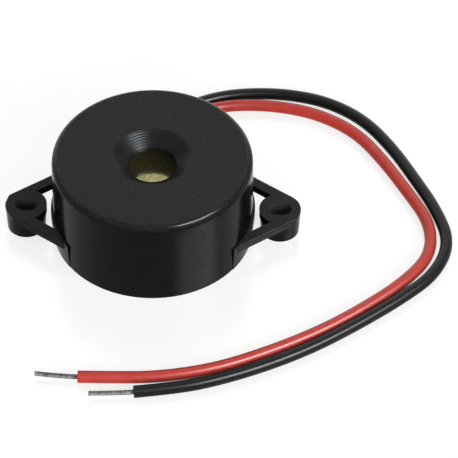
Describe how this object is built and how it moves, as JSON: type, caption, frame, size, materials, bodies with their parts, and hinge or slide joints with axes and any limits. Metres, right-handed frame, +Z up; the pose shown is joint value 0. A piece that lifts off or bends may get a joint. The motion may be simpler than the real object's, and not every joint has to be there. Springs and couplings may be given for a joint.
{
  "type": "piezo buzzer",
  "caption": "Round black piezo buzzer with a countersunk sound port over a brass disc, slotted mounting ears, a driver board inside, and red and black lead wires.",
  "frame": {"origin": "centre of the base, on the surface that the buzzer stands on", "axes": "+Z up out of the sound port, +X through the ears, +Y towards the side where the leads come out"},
  "size_m": [0.054, 0.0519, 0.0118],
  "materials": {
    "housing_plastic": "glossy moulded wall, fine matte grain on the top face",
    "cover_plastic": "matte moulded",
    "brass": "satin rolled brass",
    "ceramic": "matte fired ceramic",
    "silver": "matte fired silver",
    "adhesive": "soft satin silicone",
    "board": "bare glass-epoxy laminate",
    "copper": "etched copper",
    "resistor": "glazed chip",
    "epoxy": "moulded epoxy",
    "solder": "bright tin",
    "jumper_black": "thin vinyl",
    "jumper_red": "thin vinyl",
    "jumper_blue": "thin vinyl",
    "red_insulation": "satin vinyl",
    "black_insulation": "satin vinyl",
    "strands": "tinned twisted strands"
  },
  "bodies": {
    "root": {"housing": "housing_plastic", "back_cover": "cover_plastic", "brass_disc": "brass", "piezo_ceramic": "ceramic", "main_electrode": "silver", "feedback_electrode": "silver", "disc_adhesive": "adhesive", "circuit_board": "board", "copper_tracks": "copper", "resistor_bodies": "resistor", "resistor_terminals": "solder", "transistor_body": "epoxy", "transistor_leads": "solder", "board_solder": "solder", "disc_solder": "solder", "ground_jumper": "jumper_black", "main_jumper": "jumper_red", "feedback_jumper": "jumper_blue", "red_lead": "red_insulation", "black_lead": "black_insulation", "red_conductor": "strands", "black_conductor": "strands"}
  },
  "joints": []
}
